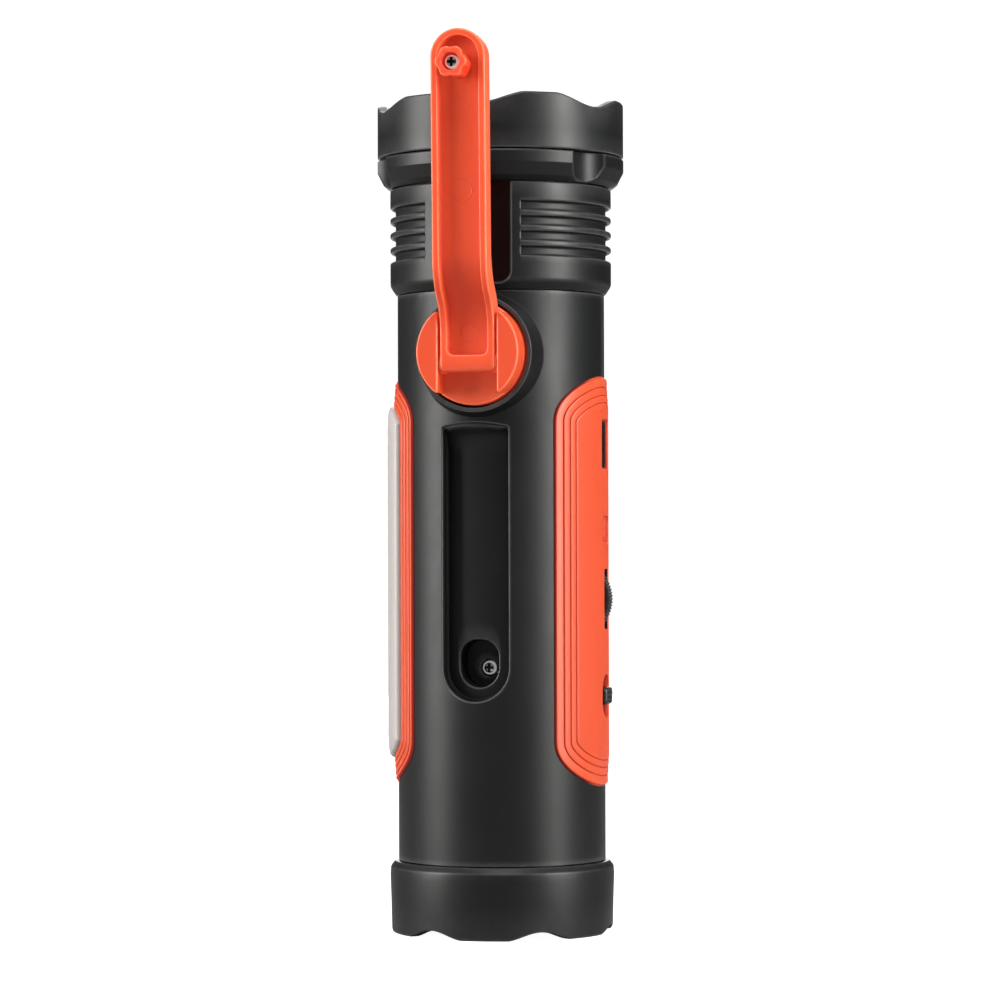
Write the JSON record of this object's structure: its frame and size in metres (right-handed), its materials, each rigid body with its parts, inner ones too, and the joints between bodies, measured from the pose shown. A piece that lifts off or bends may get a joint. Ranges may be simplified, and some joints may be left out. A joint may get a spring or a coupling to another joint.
{
  "type": "hand crank flashlight",
  "caption": "Cylindrical flashlight with a folding hand crank, a radio control panel on one side and a lamp on the other.",
  "frame": {"origin": "centre of the tail cap's end face, on the body's axis", "axes": "+Z along the body towards the lens; -Y towards the crank; +X towards the control panel"},
  "size_m": [0.0642, 0.0873, 0.229],
  "materials": {
    "body_plastic": "fine matt moulded texture",
    "orange_plastic": "satin moulded plastic",
    "seal_rubber": "soft matt",
    "steel": "bright zinc plate",
    "brass": "turned",
    "copper": "enamelled winding",
    "alloy": "pressed, plain",
    "magnet": "sintered, matt",
    "inner_plastic": "natural acetal",
    "circuit_board": "lacquered laminate",
    "speaker_cone": "pressed paper cone in a frame",
    "cell_wrap": "shrink sleeve",
    "lens_clear": "polished, clear",
    "reflector_mirror": "vacuum metallised",
    "emitter_amber": "phosphor dome",
    "window_smoked": "polished, dark",
    "diffuser_milky": "satin, translucent"
  },
  "bodies": {
    "body": {"front_shell": "body_plastic", "rear_shell": "body_plastic", "shell_screw": "steel", "battery_cell": "cell_wrap", "battery_contact": "brass", "battery_tube": "inner_plastic", "main_board": "circuit_board", "speaker_unit": "speaker_cone", "speaker_magnet": "magnet", "head_housing": "body_plastic", "head_ring": "body_plastic", "bezel": "body_plastic", "lens": "lens_clear", "lens_gasket": "seal_rubber", "reflector": "reflector_mirror", "heat_sink": "alloy", "emitter_board": "circuit_board", "emitter": "emitter_amber", "shaft_bush": "brass", "middle_axle": "steel", "generator_coil": "copper", "generator_can": "alloy", "gearbox_plate": "alloy", "control_panel": "orange_plastic", "scale_window": "window_smoked", "tuner_body": "inner_plastic", "switch_body": "steel", "lamp_frame": "orange_plastic", "lamp_diffuser": "diffuser_milky", "lamp_board": "circuit_board"},
    "crank": {"crank_hub": "orange_plastic", "hub_screw": "steel", "hinge_pin": "steel", "crank_shaft": "steel", "crank_gear": "inner_plastic"},
    "arm": {"crank_arm": "orange_plastic", "knob_screw": "steel"},
    "knob": {"crank_knob": "orange_plastic"},
    "middle_wheel": {"middle_gear": "inner_plastic"},
    "rotor": {"rotor_pinion": "brass", "rotor_magnet": "magnet"},
    "tuning": {"tuning_wheel": "body_plastic"},
    "switch": {"switch_knob": "body_plastic"},
    "cap_thread": {"tail_seal": "seal_rubber"},
    "cap": {"tail_cap": "body_plastic", "battery_spring": "steel"}
  },
  "joints": [
    {"name": "crank_spin", "type": "hinge", "parent": "body", "child": "crank", "pos_m": [0, 0, 0.1489], "axis": [0, -1, 0], "continuous": true},
    {"name": "arm_fold", "type": "hinge", "parent": "crank", "child": "arm", "pos_m": [0, -0.0352, 0.1459], "axis": [-1, 0, 0], "range_deg": [-180, 0]},
    {"name": "knob_spin", "type": "hinge", "parent": "arm", "child": "knob", "pos_m": [0, -0.05, 0.2198], "axis": [0, -1, 0], "continuous": true},
    {"name": "middle_spin", "type": "hinge", "parent": "body", "child": "middle_wheel", "pos_m": [0, 0, 0.1289], "axis": [0, -1, 0], "continuous": true},
    {"name": "rotor_spin", "type": "hinge", "parent": "body", "child": "rotor", "pos_m": [0, 0, 0.1151], "axis": [0, -1, 0], "continuous": true},
    {"name": "tuning_turn", "type": "hinge", "parent": "body", "child": "tuning", "pos_m": [0.0191, 0, 0.0863], "axis": [0, -1, 0], "range_deg": [-150, 150]},
    {"name": "switch_slide", "type": "slide", "parent": "body", "child": "switch", "axis": [0, 0, 1], "range_m": [-0.0026, 0.0026]},
    {"name": "cap_travel", "type": "slide", "parent": "body", "child": "cap_thread", "axis": [0, 0, -1], "range_m": [0, 0.0041]},
    {"name": "cap_turn", "type": "hinge", "parent": "cap_thread", "child": "cap", "pos_m": [0, 0, 0], "axis": [0, 0, -1], "range_deg": [0, 720]}
  ],
  "couplings": [
    {"joint": "middle_spin", "follows": "crank_spin", "ratio": -4},
    {"joint": "rotor_spin", "follows": "crank_spin", "ratio": 14.4},
    {"joint": "cap_travel", "follows": "cap_turn", "m_per_rad": 0.00031831}
  ]
}
